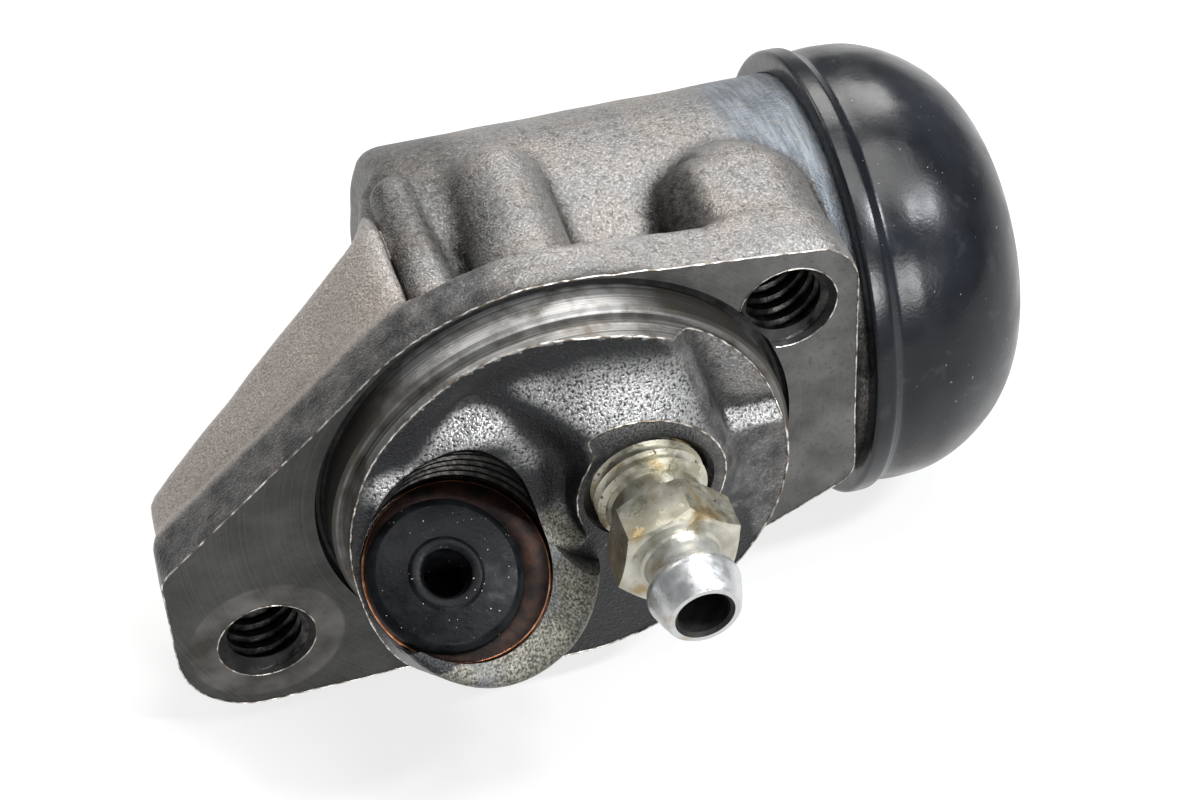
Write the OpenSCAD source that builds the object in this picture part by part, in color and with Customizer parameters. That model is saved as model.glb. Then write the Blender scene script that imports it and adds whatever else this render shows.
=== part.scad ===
// Single-ended hydraulic wheel cylinder for a drum brake.
// Frame: origin at the centre of the locating spigot, on the machined flange face.
// +X runs along the bore towards the rubber boot, -Y leaves the flange face, +Z is up.

/* [Flange] */
// Thickness of the flange plate
flange_t = 5; // [4:0.5:7]
// Radius of the round middle of the flange
hub_r = 21; // [21:0.05:22]
// Upper bolt hole, sideways from the spigot's centre
upper_hole_x = 19.9; // [18:0.1:21]
// Upper bolt hole, height above the spigot's centre
upper_hole_z = 12.7; // [12:0.1:13.5]
// Lower bolt hole, sideways from the spigot's centre
lower_hole_x = -25.6; // [-27:0.1:-25]
// Lower bolt hole, height above the spigot's centre
lower_hole_z = -13.8; // [-15:0.1:-13]
// Radius of the ear round the lower bolt hole
ear_r = 7.8; // [7:0.1:8.5]
// Tapping diameter of the bolt holes
bolt_hole_d = 6.5; // [5.5:0.1:7]
// Depth of the bolt holes
bolt_hole_depth = 10; // [8:0.5:10.5]
// Diameter of the countersinks over the bolt holes
bolt_sink_d = 8.6; // [7.6:0.1:9]
// Depth of the ear's web beside the cylinder's closed end
web_depth = 18; // [16:0.5:19]
// Depth of the ear's web at its tip
web_tip_depth = 10.4; // [9.6:0.2:12]

/* [Spigot] */
// Diameter of the turned locating land
spigot_d = 39.5; // [38.6:0.1:39.6]
// Height of the locating land
spigot_land_h = 2.7; // [2:0.1:2.7]
// Diameter of the turned lump above the land
lump_d = 37.8; // [37:0.1:38.4]
// Height of the lump's flat above the flange face
lump_h = 4.7; // [4.2:0.1:5.2]
// Height of the lower flat beside the upper bolt hole
plateau_h = 2.9; // [2.8:0.1:3.6]
// Width of the relief groove round the spigot
relief_w = 0.9; // [0.85:0.01:0.95]
// Depth of the relief groove
relief_depth = 0.8; // [0.4:0.1:1.2]

/* [Cylinder] */
// Diameter of the bore
bore_d = 25.4; // [24:0.1:27]
// Outside diameter of the cylinder
barrel_d = 36.6; // [36:0.1:37]
// Distance of the bore's axis behind the flange face
bore_axis_y = 19.4; // [19:0.1:20]
// Height of the bore's axis, below the spigot's centre
bore_axis_z = -2.8; // [-3.4:0.1:-2.4]
// Closed end of the cylinder
closed_end_x = -8.9; // [-10:0.1:-8.5]
// Thickness of the closed end
closed_end_t = 5.5; // [5:0.1:6]
// Open end of the cylinder
open_end_x = 31; // [30.5:0.1:32]

/* [Inlet port] */
// Lean of the port's axis up from the flange's normal
port_tilt = 62; // [60:1:64]
// Turn of the port's axis towards the boot
port_swing = 8; // [6:1:12]
// Thread's minor diameter
port_d = 16; // [15.8:0.1:16.6]
// Diameter of the smaller hole under the gasket
port_inner_d = 10; // [9:0.1:10.6]
// Thickness of the copper gasket
gasket_t = 1.2; // [1:0.1:2]
// Diameter of the transit plug's head
plug_d = 13; // [12.6:0.1:13.2]
// Diameter of the hole through the plug
plug_hole_d = 3.6; // [3:0.1:4.4]

/* [Bleeder] */
// Bleeder's axis, sideways from the spigot's centre
bleed_x = 5.6; // [5.2:0.1:6]
// Bleeder's axis, height above the spigot's centre
bleed_z = 3.7; // [3.4:0.1:4]
// Height of the bleeder's boss above the lump's flat
bleed_boss_h = 3.2; // [2.8:0.1:3.6]
// Thread's major diameter
bleed_thread_d = 9.5; // [9:0.1:10]
// Hexagon across its flats
bleed_hex_af = 9.5; // [9:0.1:10]
// Length of the bleeder that stands out of its boss
bleed_stand = 14.5; // [14:0.1:15]

/* [Piston and boot] */
// Length of the piston
piston_len = 16; // [14:0.5:17]
// How far the piston's outer end lies inside the open end at rest
piston_inset = 3; // [2.5:0.5:4]
// Running clearance of the piston in the bore
piston_clear = 0.04; // [0.02:0.01:0.08]
// Diameter of the push-rod socket
socket_d = 10; // [8:0.5:12]
// Depth of the push-rod socket
socket_depth = 9; // [7:0.5:10]
// Length of the pressure cup
cup_len = 7; // [6:0.1:7.5]
// Diameter of the return spring's wire
spring_wire_d = 1.2; // [1:0.1:1.4]
// How far the boot's lip reaches back over the cylinder's open end
boot_grip = 2.6; // [2.4:0.1:2.8]
// Outside length of the boot
boot_len = 17.5; // [16.5:0.1:18]
// How far the boot's barrel stands outside the cylinder
boot_swell = 1.5; // [1.3:0.05:1.7]
// Rubber's thickness
boot_wall = 1.8; // [1.6:0.1:2.2]
// Diameter of the boot's hole for the push rod
boot_hole_d = 11; // [9:0.5:13]

/* [Hidden] */
$fn = 96;

// Clearance between pieces that seat on each other, and how far a cut runs past a face.
slip = 0.05;
past = 1;

// The belt's straights lie this far inside its circles, so that they cross them and don't just touch.
belt_tuck = 0.03;

// The flange's outline is a belt round these circles: [x, z, radius].
hub = [0, 0, hub_r];
ear = [lower_hole_x, lower_hole_z, ear_r];
ear_corner = [lower_hole_x - 6.7, lower_hole_z + 9.3, 1.65];
foot_corner = [upper_hole_x + 5, -7.9, 2.4];
head_corner = [upper_hole_x + 1.4, upper_hole_z + 1.3, 4.85];

bore_floor_x = closed_end_x + closed_end_t;
barrel_r = barrel_d / 2;
boot_x = open_end_x - boot_grip;
neck_x = boot_x + 0.5;
neck_r = barrel_r - 1.5;

// Bosses on the back of the flange: [x, z, radius, depth].
bolt_boss = [upper_hole_x - 0.5, upper_hole_z - 0.9, 7, 19];
ridge_boss = [0.2, 14, 4.3, 23];
end_ridge = [closed_end_x + 1.5, 14, 2, 22.5];

// The ear's web sweeps up beside the closed end: points outside that end and beyond the web's depth.
sweep = [[-4.8, -1.6], [-3.9, -1.1], [-3.3, -0.1], [-2.9, 1.2], [-1.4, 6.4], [-0.8, 6.9]];

// The swept part's top falls towards the back along these points: [y, z].
sweep_top = [[14, 18.2], [bore_axis_y, 16.9], [web_depth + 5.8, 15.9], [web_depth + 7, 14.4]];

// Crease between the web's top and the end ridge: how far outside the closed end, and its floor.
crease_gap = 0.3;
crease_z = 13;

// Edges of the lower flat: a wall beside the hump between two points [x, z], and a ramp to the lump's flat.
plateau_wall = [[9.4, 16], [13.4, 4.6]];
ramp_z = 5.6;
ramp_w = 0.6;

// The port's seat is the middle of the gasket's lower face, and its axis leans up and outwards.
port_seat = [-11, -8, -1.6];
port_floor_h = -5;
port_axis = [cos(port_tilt) * sin(port_swing), -cos(port_tilt) * cos(port_swing), sin(port_tilt)];
inlet_start = port_seat + (port_floor_h + slip) * port_axis;
inlet_end = [bore_floor_x + 3.4, bore_axis_y - 10, bore_axis_z - 2.2];
inlet_d = 3;
plug_offset = [-1.2, -0.2];

// Cast boss round the port, beside the port's own axis, with its sloping end face.
port_boss_d = 20;
port_boss_offset = [2.5, 0.5];
port_boss_tilt = 45;
port_face_point = [-12.5, -16.5, -3.6];
port_face_tilt = 51;
port_face_swing = 25;

// Low rounded shoulder on the lump's flat, above the port's mouth.
shoulder_at = [-8.5, 4.5];
shoulder_foot_r = 9.6;
shoulder_top_r = 5.2;
shoulder_h = 1.8;

// Bleeder's boss, the cast hump beside it, and the cone that the screw closes.
bleed_face_h = lump_h + bleed_boss_h;
bleed_tip_h = bleed_face_h + bleed_stand;
bleed_boss_r = 7.2;
hump_offset = [-3, 3.3];
hump_r = 9.8;
hump_top_r = 5.5;
bleed_seat_y = 2.4;
bleed_cone_len = 3.2;
bleed_passage_d = 2.8;

piston_x = open_end_x - piston_inset - piston_len;
cup_base_t = 3;
expander_t = 0.7;
expander_x = piston_x - cup_base_t - expander_t;
spring_r = 6.5;

// Direction in which a straight belt leaves circle a on its way to circle b, anticlockwise.
function tangent_turn(a, b) =
    let (run = [b[0] - a[0], b[1] - a[1]])
    atan2(run[1], run[0]) - acos((a[2] - b[2]) / norm(run));
function on_circle(c, turn) = [c[0], c[1]] + (c[2] - belt_tuck) * [cos(turn), sin(turn)];

// Outline of a belt pulled round circles that are listed anticlockwise.
module belt(circles) {
    last = len(circles) - 1;
    polygon([
        for (i = [0:last])
            let (a = circles[i], b = circles[i == last ? 0 : i + 1], turn = tangent_turn(a, b))
            for (c = [a, b]) on_circle(c, turn)
    ]);
    for (c = circles) translate([c[0], c[1]]) circle(c[2]);
}

// Frames of the flange, the bore, the port and the bleeder: each child points along +Z there.
module outwards() { rotate([90, 0, 0]) children(); }
module from_flange(y) { translate([0, y, 0]) outwards() children(); }
module along_bore() { translate([0, bore_axis_y, bore_axis_z]) rotate([0, 90, 0]) children(); }
module at_port() { translate(port_seat) rotate([90 - port_tilt, 0, port_swing]) children(); }
module at_bleeder() { translate([bleed_x, 0, bleed_z]) outwards() children(); }

module flange_plate() {
    from_flange(flange_t) linear_extrude(flange_t)
        belt([hub, ear_corner, ear, hub, foot_corner, head_corner]);
}

// Web that carries the ear: it deepens towards the closed end, sweeps up beside it and ends at a crease.
module ear_web() {
    inset = [0, 0, 0.6];
    tip_x = lower_hole_x - ear_r - past;
    root_x = closed_end_x + past;
    crease_x = closed_end_x - crease_gap;
    edge = 1.2;
    reach = hub_r + past;
    depth = 2 * web_depth;
    difference() {
        intersection() {
            from_flange(depth) linear_extrude(depth) belt([hub - inset, ear_corner - inset, ear - inset]);
            translate([0, 0, -reach]) linear_extrude(2 * reach) polygon(concat(
                [[root_x, 0], [tip_x, 0], [tip_x, web_tip_depth]],
                [for (p = sweep) p + [closed_end_x, web_depth]],
                [[root_x, web_depth + sweep[len(sweep) - 1][1]]]
            ));
            translate([tip_x, 0, 0]) rotate([0, 90, 0]) linear_extrude(root_x - tip_x) polygon(concat(
                [[reach, 0], [-reach, 0], [-reach, sweep_top[0][0]]],
                [for (p = sweep_top) [-p[1], p[0]]],
                [[reach, sweep_top[3][0]]]
            ));
        }
        from_flange(depth) linear_extrude(2 * depth) polygon([
            [crease_x, crease_z], [crease_x, crease_z + 2 * edge], [crease_x - edge, crease_z + 4 * edge],
            [crease_x - edge, reach], [root_x + past, reach], [root_x + past, crease_z]
        ]);
    }
}

// Cylinder with its closed end at the left and the boot's neck at the right.
module barrel() {
    edge = 1.2;
    along_bore() rotate_extrude() polygon([
        [0, closed_end_x], [barrel_r - edge, closed_end_x], [barrel_r, closed_end_x + edge],
        [barrel_r, neck_x], [neck_r, neck_x], [neck_r, open_end_x], [0, open_end_x]
    ]);
}

// Half-round boss on the back of the flange, with a round end on the cylinder's top.
module back_boss(boss) {
    r = boss[2];
    straight = boss[3] - r;
    translate([boss[0], 0, boss[1]]) rotate([-90, 0, 0]) {
        cylinder(r = r, h = straight);
        translate([0, 0, straight]) sphere(r);
    }
}

module spigot() {
    edge = 0.4;
    land_r = spigot_d / 2;
    top_r = lump_d / 2;
    outwards() rotate_extrude() polygon([
        [0, -flange_t], [land_r, -flange_t], [land_r, spigot_land_h - edge],
        [land_r - edge, spigot_land_h], [top_r, spigot_land_h],
        [top_r, lump_h - edge], [top_r - 2 * edge, lump_h], [0, lump_h]
    ]);
}

// Boss of the port: a leaning cylinder, cut off by its sloping end face.
module port_boss() {
    reach = 60;
    intersection() {
        translate(port_seat) rotate([90 - port_boss_tilt, 0, 0]) translate(port_boss_offset)
            cylinder(d = port_boss_d, h = reach, center = true);
        translate(port_face_point) rotate([90 - port_face_tilt, 0, port_face_swing])
            translate([-reach / 2, -reach / 2, -reach]) cube(reach);
    }
}

// Cast lump on the spigot: both bosses, the port's shoulder and the bleeder's hump, turned to one diameter.
module lump() {
    intersection() {
        outwards() cylinder(d = lump_d, h = 2 * lump_d);
        union() {
            port_boss();
            outwards() translate([shoulder_at[0], shoulder_at[1], lump_h])
                cylinder(r1 = shoulder_foot_r, r2 = shoulder_top_r, h = shoulder_h);
            at_bleeder() {
                cylinder(r = bleed_boss_r, h = bleed_face_h);
                translate([hump_offset[0], hump_offset[1], lump_h])
                    cylinder(r1 = hump_r, r2 = hump_top_r, h = bleed_boss_h);
            }
        }
    }
}

// Room above the lower flat: past the wall beside the hump and above the ramp.
module plateau_cut() {
    reach = lump_d;
    foot = plateau_wall[1];
    intersection() {
        from_flange(-plateau_h) linear_extrude(reach)
            polygon([plateau_wall[0], foot, [reach, foot[1]], [reach, reach], [plateau_wall[0][0], reach]]);
        rotate([0, 90, 0]) linear_extrude(reach) polygon([
            [-ramp_z, -plateau_h], [ramp_w - ramp_z, -lump_h], [ramp_w - ramp_z, -reach],
            [-reach, -reach], [-reach, -plateau_h]
        ]);
    }
}

// Groove round the foot of the spigot, with the corners that its tool leaves.
module relief_groove() {
    corner = 0.3;
    inner = spigot_d / 2;
    outer = inner + relief_w;
    outwards() rotate_extrude() polygon([
        [inner, past], [inner, corner - relief_depth], [inner + corner, -relief_depth],
        [outer - corner, -relief_depth], [outer, corner - relief_depth], [outer, past]
    ]);
}

// Tapped hole with its drill point and countersink.
module bolt_hole(x, z) {
    sink_depth = (bolt_sink_d - bolt_hole_d) / 2;
    chisel_d = 0.8;
    translate([x, 0, z]) rotate([-90, 0, 0]) {
        translate([0, 0, -past]) cylinder(d = bolt_hole_d, h = bolt_hole_depth + past);
        translate([0, 0, bolt_hole_depth]) cylinder(d1 = bolt_hole_d, d2 = chisel_d, h = bolt_hole_d / 4);
        cylinder(d1 = bolt_sink_d, d2 = bolt_hole_d, h = sink_depth);
        translate([0, 0, -past]) cylinder(d = bolt_sink_d, h = past);
    }
}

// Straight drilling between two points.
module drilling(from, to, d) {
    run = to - from;
    translate(from) rotate([0, acos(run[2] / norm(run)), atan2(run[1], run[0])])
        cylinder(d = d, h = norm(run));
}

module port_cut() {
    at_port() {
        cylinder(d = port_d, h = 2 * port_d);
        translate([0, 0, port_floor_h]) cylinder(d = port_inner_d, h = past - port_floor_h);
    }
    drilling(inlet_start, inlet_end, inlet_d);
}

module bleeder_cut() {
    hole_d = bleed_thread_d + 2 * slip;
    sink = 0.8;
    at_bleeder() {
        translate([0, 0, -bleed_seat_y]) cylinder(d = hole_d, h = bleed_seat_y + bleed_face_h + past);
        translate([0, 0, bleed_face_h - sink]) cylinder(d1 = hole_d, d2 = hole_d + 2 * sink, h = sink);
        translate([0, 0, -bleed_seat_y - bleed_cone_len])
            cylinder(d1 = bleed_passage_d, d2 = hole_d, h = bleed_cone_len);
        translate([0, 0, -bore_axis_y]) cylinder(d = bleed_passage_d, h = bore_axis_y);
    }
}

module bore_cut() {
    edge = 0.8;
    along_bore() {
        translate([0, 0, bore_floor_x]) cylinder(d = bore_d, h = open_end_x - bore_floor_x + past);
        translate([0, 0, open_end_x - edge]) cylinder(d1 = bore_d, d2 = bore_d + 2 * edge, h = edge);
    }
}

module housing() color("dimgray") difference() {
    union() {
        flange_plate();
        ear_web();
        barrel();
        back_boss(bolt_boss);
        back_boss(ridge_boss);
        back_boss(end_ridge);
        spigot();
        lump();
    }
    plateau_cut();
    relief_groove();
    bolt_hole(upper_hole_x, upper_hole_z);
    bolt_hole(lower_hole_x, lower_hole_z);
    port_cut();
    bleeder_cut();
    bore_cut();
}

// Turned piston with a socket for the push rod.
module piston() color("silver") {
    r = bore_d / 2 - piston_clear;
    edge = 0.6;
    along_bore() translate([0, 0, piston_x]) difference() {
        rotate_extrude() polygon([
            [0, 0], [r - edge, 0], [r, edge],
            [r, piston_len - edge], [r - edge, piston_len], [0, piston_len]
        ]);
        translate([0, 0, piston_len - socket_depth]) cylinder(d = socket_d, h = socket_depth + past);
    }
}

// Pressure cup, with its lip towards the closed end.
module piston_cup() color("#202020") {
    r = bore_d / 2 - slip;
    lip_t = 1.2;
    root_t = 2.4;
    edge = 0.6;
    along_bore() translate([0, 0, piston_x - cup_len]) rotate_extrude() polygon([
        [r - lip_t, 0], [r, 0], [r, cup_len - edge], [r - edge, cup_len], [0, cup_len],
        [0, cup_len - cup_base_t], [r - root_t, cup_len - cup_base_t]
    ]);
}

// Pressed disc that spreads the cup's lip and locates the spring on its nib.
module cup_expander() color("goldenrod") {
    rim_r = bore_d / 2 - 2.65;
    nib_r = spring_r - spring_wire_d / 2 - 0.3;
    nib_len = 2;
    edge = 0.5;
    along_bore() translate([0, 0, expander_x]) rotate_extrude() polygon([
        [0, -nib_len], [nib_r - edge, -nib_len], [nib_r, edge - nib_len], [nib_r, 0],
        [rim_r, 0], [rim_r, expander_t], [0, expander_t]
    ]);
}

// Coil spring between the bore's floor and the expander.
module return_spring() color("gray") {
    turns = 5;
    steps = 20;
    sides = 8;
    wire_r = spring_wire_d / 2;
    start_x = bore_floor_x + wire_r;
    run = expander_x - wire_r - start_x;
    rings = turns * steps;
    points = [
        for (i = [0:rings]) for (j = [0:sides - 1])
            let (turn = 360 * i / steps, around = 360 * j / sides, r = spring_r + wire_r * cos(around))
            [r * cos(turn), r * sin(turn), start_x + run * i / rings + wire_r * sin(around)]
    ];
    skin = [
        for (i = [0:rings - 1]) for (j = [0:sides - 1])
            let (k = (j + 1) % sides)
            [i * sides + j, i * sides + k, (i + 1) * sides + k, (i + 1) * sides + j]
    ];
    first_end = [for (j = [0:sides - 1]) sides - 1 - j];
    last_end = [for (j = [0:sides - 1]) rings * sides + j];
    along_bore() polyhedron(points, concat(skin, [first_end, last_end]));
}

// Rubber boot: a flat lip gripped on the cylinder's neck, and a long round shoulder.
module dust_boot() color("#23272b") {
    r = barrel_r + boot_swell;
    lip_r = r + 0.5;
    lip_w = 2.1;
    edge = 0.5;
    shoulder_r = 11.8;
    shoulder_run = 12.4;
    end_x = boot_x + boot_len;
    hole_r = boot_hole_d / 2;
    arc = [0:9:90];
    along_bore() rotate_extrude() polygon(concat(
        [[neck_r + slip, neck_x + slip], [barrel_r + slip, neck_x + slip], [barrel_r + slip, boot_x],
         [lip_r - edge, boot_x], [lip_r, boot_x + edge], [lip_r, boot_x + lip_w - edge],
         [r - edge / 4, boot_x + lip_w + edge / 2]],
        [for (a = arc) [r - shoulder_r + shoulder_r * cos(a), end_x - shoulder_run + shoulder_run * sin(a)]],
        [[hole_r, end_x], [hole_r, end_x - boot_wall]],
        [for (a = arc) [
            r - shoulder_r + (shoulder_r - boot_wall) * sin(a),
            end_x - shoulder_run + (shoulder_run - boot_wall) * cos(a)]],
        [[r - boot_wall, open_end_x + slip], [neck_r + slip, open_end_x + slip]]
    ));
}

// Bleed screw: a cone that closes the passage, thread, hexagon and a round nipple.
module bleeder_screw() color("#d8d2b8") {
    thread_r = bleed_thread_d / 2;
    seat_gap = 0.25;
    seat_h = seat_gap - bleed_seat_y;
    cone_h = seat_h - bleed_cone_len;
    edge = 0.5;
    neck_r = 3.1;
    ball_r = 3.9;
    hex_h = 4.4;
    hex_foot = bleed_face_h + 4.1;
    relief = 1.2;
    ball_h = bleed_tip_h - 2.6;
    mouth_d = 4.6;
    mouth_depth = 4;
    duct_d = 2.6;
    cross_d = 1.8;
    at_bleeder() difference() {
        union() {
            rotate_extrude() polygon([
                [0, cone_h], [bleed_passage_d / 2, cone_h], [thread_r - edge, seat_h - edge],
                [thread_r, seat_h + edge], [thread_r, hex_foot - relief],
                [neck_r + edge, hex_foot - relief / 2],
                [neck_r + edge, hex_foot + edge], [0, hex_foot + edge]
            ]);
            translate([0, 0, hex_foot]) cylinder(d = bleed_hex_af / cos(30), h = hex_h, $fn = 6);
            translate([0, 0, hex_foot]) cylinder(r = neck_r, h = ball_h - hex_foot);
            intersection() {
                translate([0, 0, ball_h]) sphere(ball_r);
                translate([0, 0, hex_foot]) cylinder(r = 2 * ball_r, h = bleed_tip_h - hex_foot);
            }
        }
        translate([0, 0, bleed_tip_h - mouth_depth]) cylinder(d = mouth_d, h = mouth_depth + past);
        cylinder(d = duct_d, h = bleed_tip_h);
        rotate([0, 90, 0]) cylinder(d = cross_d, h = 2 * bleed_thread_d, center = true);
    }
}

// Copper ring on the port's seat.
module inlet_gasket() color("#a5603c") {
    thread_gap = 0.2;
    hole_gap = 0.3;
    at_port() difference() {
        cylinder(d = port_d - 2 * thread_gap, h = gasket_t);
        translate([0, 0, -past]) cylinder(d = port_inner_d + 2 * hole_gap, h = gasket_t + 2 * past);
    }
}

// Plug put into the port for transit: its head lies on the ring, a little to one side.
module transit_plug() color("#1c1c1f") {
    face_h = gasket_t + 1.4;
    edge = 0.4;
    shank_gap = 0.3;
    shank_r = port_inner_d / 2 - norm(plug_offset) - shank_gap;
    shank_end = port_floor_h + 1;
    at_port() translate([plug_offset[0], plug_offset[1], 0]) difference() {
        rotate_extrude() polygon([
            [0, shank_end], [shank_r, shank_end], [shank_r, gasket_t], [plug_d / 2, gasket_t],
            [plug_d / 2, face_h - edge], [plug_d / 2 - edge, face_h], [0, face_h]
        ]);
        translate([0, 0, shank_end - past]) cylinder(d = plug_hole_d, h = 2 * plug_d);
    }
}

housing();
piston();
piston_cup();
cup_expander();
return_spring();
dust_boot();
bleeder_screw();
inlet_gasket();
transit_plug();
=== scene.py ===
import math

import bmesh
import bpy
import numpy as np
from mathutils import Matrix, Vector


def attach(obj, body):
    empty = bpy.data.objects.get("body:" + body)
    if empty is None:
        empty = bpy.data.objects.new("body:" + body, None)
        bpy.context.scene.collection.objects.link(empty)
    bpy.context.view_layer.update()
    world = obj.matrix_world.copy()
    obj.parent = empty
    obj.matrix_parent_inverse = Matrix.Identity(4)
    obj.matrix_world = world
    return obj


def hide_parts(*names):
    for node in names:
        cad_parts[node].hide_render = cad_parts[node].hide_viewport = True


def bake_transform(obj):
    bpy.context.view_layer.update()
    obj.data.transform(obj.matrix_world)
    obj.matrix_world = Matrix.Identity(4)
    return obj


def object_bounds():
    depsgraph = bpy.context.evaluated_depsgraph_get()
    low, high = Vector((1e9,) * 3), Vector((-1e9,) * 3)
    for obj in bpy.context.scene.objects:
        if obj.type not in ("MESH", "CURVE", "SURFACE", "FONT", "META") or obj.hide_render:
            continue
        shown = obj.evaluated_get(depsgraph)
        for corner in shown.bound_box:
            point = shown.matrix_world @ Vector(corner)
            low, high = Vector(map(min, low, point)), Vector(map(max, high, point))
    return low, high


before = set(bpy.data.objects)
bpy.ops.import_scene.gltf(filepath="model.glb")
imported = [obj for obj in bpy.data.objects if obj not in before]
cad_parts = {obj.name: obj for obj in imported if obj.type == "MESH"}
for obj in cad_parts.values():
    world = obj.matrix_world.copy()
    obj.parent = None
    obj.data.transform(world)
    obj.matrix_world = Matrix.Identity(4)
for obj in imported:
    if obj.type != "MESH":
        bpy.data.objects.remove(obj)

import openvdb
from mathutils import Matrix, Vector


# Bench: the part lies on a plain pale sheet under soft studio light.
# One softbox hangs overhead and two stand behind, a window stands in front, two small panes are at
# the right, and the camera looks down on the flange at the photograph's angle.
cad_low, cad_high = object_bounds()


def lamp(name, place, aim, size, power, colour):
    light = bpy.data.lights.new(name, "AREA")
    light.shape = "DISK"
    light.size = size
    light.energy = power
    light.color = colour
    obj = bpy.data.objects.new(name, light)
    bpy.context.scene.collection.objects.link(obj)
    obj.location = place
    obj.rotation_euler = (Vector(aim) - Vector(place)).to_track_quat("-Z", "Y").to_euler()


FLANGE_MIDDLE = (0, 0, 0)
BOOT_SHOULDER = (0.035, 0.02, 0.01)
WARM = (1.0, 0.985, 0.96)
COOL = (0.94, 0.97, 1.0)
lamp("overhead_softbox", (0.12, 0.0, 0.56), FLANGE_MIDDLE, 0.34, 2.2, (1.0, 0.995, 0.98))
lamp("front_window", (0.13, -0.50, 0.28), FLANGE_MIDDLE, 0.17, 1.9, (1.0, 1.0, 1.0))
lamp("left_softbox", (-0.235, 0.45, 0.36), FLANGE_MIDDLE, 0.30, 1.1, WARM)
lamp("right_pane", (0.39, -0.17, 0.46), BOOT_SHOULDER, 0.07, 1.6, COOL)
lamp("left_pane", (0.29, -0.20, 0.50), BOOT_SHOULDER, 0.07, 1.6, COOL)
lamp("back_softbox", (0.20, 0.42, 0.43), FLANGE_MIDDLE, 0.30, 2.2, WARM)

world = bpy.data.worlds.new("studio_walls")
bpy.context.scene.world = world
world.use_nodes = True
walls = world.node_tree.nodes["Background"]
walls.inputs["Color"].default_value = (0.93, 0.96, 1.0, 1)
walls.inputs["Strength"].default_value = 0.22

half_sheet = 1.5
sheet_mesh = bpy.data.meshes.new("paper_sheet")
sheet_mesh.from_pydata([
    (half_sheet * x, half_sheet * y, cad_low.z) for x, y in ((-1, -1), (1, -1), (1, 1), (-1, 1))
], [], [(0, 1, 2, 3)])
paper_sheet = bpy.data.objects.new("paper_sheet", sheet_mesh)
bpy.context.scene.collection.objects.link(paper_sheet)


def feed(tree, socket, value):
    if isinstance(value, bpy.types.NodeSocket):
        tree.links.new(value, socket)
    elif socket.type == "RGBA" and len(value) == 3:
        socket.default_value = (*value, 1)
    else:
        socket.default_value = value


def add_node(tree, kind, feeds, **settings):
    node = tree.nodes.new(kind)
    for setting, value in settings.items():
        setattr(node, setting, value)
    for socket, value in feeds.items():
        feed(tree, node.inputs[socket], value)
    return node


paper = bpy.data.materials.new("white_paper")
paper.use_nodes = True
paper_tree = paper.node_tree
paper_surface = paper_tree.nodes["Principled BSDF"]
feed(paper_tree, paper_surface.inputs["Base Color"], (0.6, 0.595, 0.59))
feed(paper_tree, paper_surface.inputs["Roughness"], 0.9)
feed(paper_tree, paper_surface.inputs["Specular IOR Level"], 0.1)
# The sheet glows only to rays that look at it, so it stays white and adds no light to the part.
glow = add_node(paper_tree, "ShaderNodeEmission", {"Color": (1, 1, 1), "Strength": 1.2})
glow_share = 0.62
rays = add_node(paper_tree, "ShaderNodeLightPath", {}).outputs
seen = add_node(paper_tree, "ShaderNodeMath", {
    0: rays["Is Camera Ray"], 1: rays["Is Glossy Ray"],
}, operation="MAXIMUM")
seen_through = add_node(paper_tree, "ShaderNodeMath", {
    0: seen.outputs[0], 1: rays["Is Transmission Ray"],
}, operation="MAXIMUM")
share = add_node(paper_tree, "ShaderNodeMath", {
    0: seen_through.outputs[0], 1: glow_share,
}, operation="MULTIPLY")
paper_mix = add_node(paper_tree, "ShaderNodeMixShader", {
    "Fac": share.outputs[0], 1: paper_surface.outputs[0], 2: glow.outputs[0],
})
feed(paper_tree, paper_tree.nodes["Material Output"].inputs["Surface"], paper_mix.outputs[0])
sheet_mesh.materials.append(paper)

camera_data = bpy.data.cameras.new("bench_camera")
camera_data.sensor_width = 36
camera_data.lens = 95.41
camera_data.clip_start = 0.01
camera_data.clip_end = 10
bench_camera = bpy.data.objects.new("bench_camera", camera_data)
bpy.context.scene.collection.objects.link(bench_camera)
camera_place = (-0.051775, -0.176723, 0.191824)
turn = math.radians(-17.459)
rise = math.radians(44.984)
roll = math.radians(0.569)
to_right = Vector((math.cos(turn), math.sin(turn), 0))
to_back = Vector((
    math.sin(turn) * math.cos(rise),
    -math.cos(turn) * math.cos(rise),
    math.sin(rise),
))
to_top = to_back.cross(to_right)
rolled_right = math.cos(roll) * to_right + math.sin(roll) * to_top
rolled_top = math.cos(roll) * to_top - math.sin(roll) * to_right
camera_turn = Matrix((rolled_right, rolled_top, to_back)).transposed().to_4x4()
bench_camera.matrix_world = Matrix.Translation(camera_place) @ camera_turn
bpy.context.scene.camera = bench_camera
bpy.context.scene.view_settings.view_transform = "Standard"


# Casting: the iron housing as it leaves the sand, before any machining.
# A flange with two ears carries the cylinder; a web backs the lower ear, three ridges stand on the
# cylinder's top, and the lump in front holds the port and the bleeder. All corners are blended.
# Lengths are in millimetres in the part's frame, and MM turns them into metres.
MM = 0.001
UPPER_HOLE = (19.9, 12.7)
LOWER_HOLE = (-25.6, -13.8)
BORE_Y = 19.4
BORE_Z = -2.8
BARREL_R = 18.3
CLOSED_END = -8.9
ROUGH_END = 33
FLANGE_T = 5
LATHE_STOCK = 2.5
DRAFT = 0.03
BURR_ROOM = 0.23
WEB_INSET = 0.6
ROUGH_LUMP_R = 22
LUMP_H = 4.7
BLEED_X = 5.6
BLEED_Z = 3.7
BLEED_FACE_H = 7.9
BLEED_BOSS_R = 6.3
PORT_SEAT = np.array((-11, -8, -1.6))
PORT_BOSS_R = 10
PORT_FACE_POINT = np.array((-12.5, -16.5, -3.6))
PORT_FACE_NORMAL = np.array((0.2660, -0.5703, 0.7771))
hub = (0, 0, 21)
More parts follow.
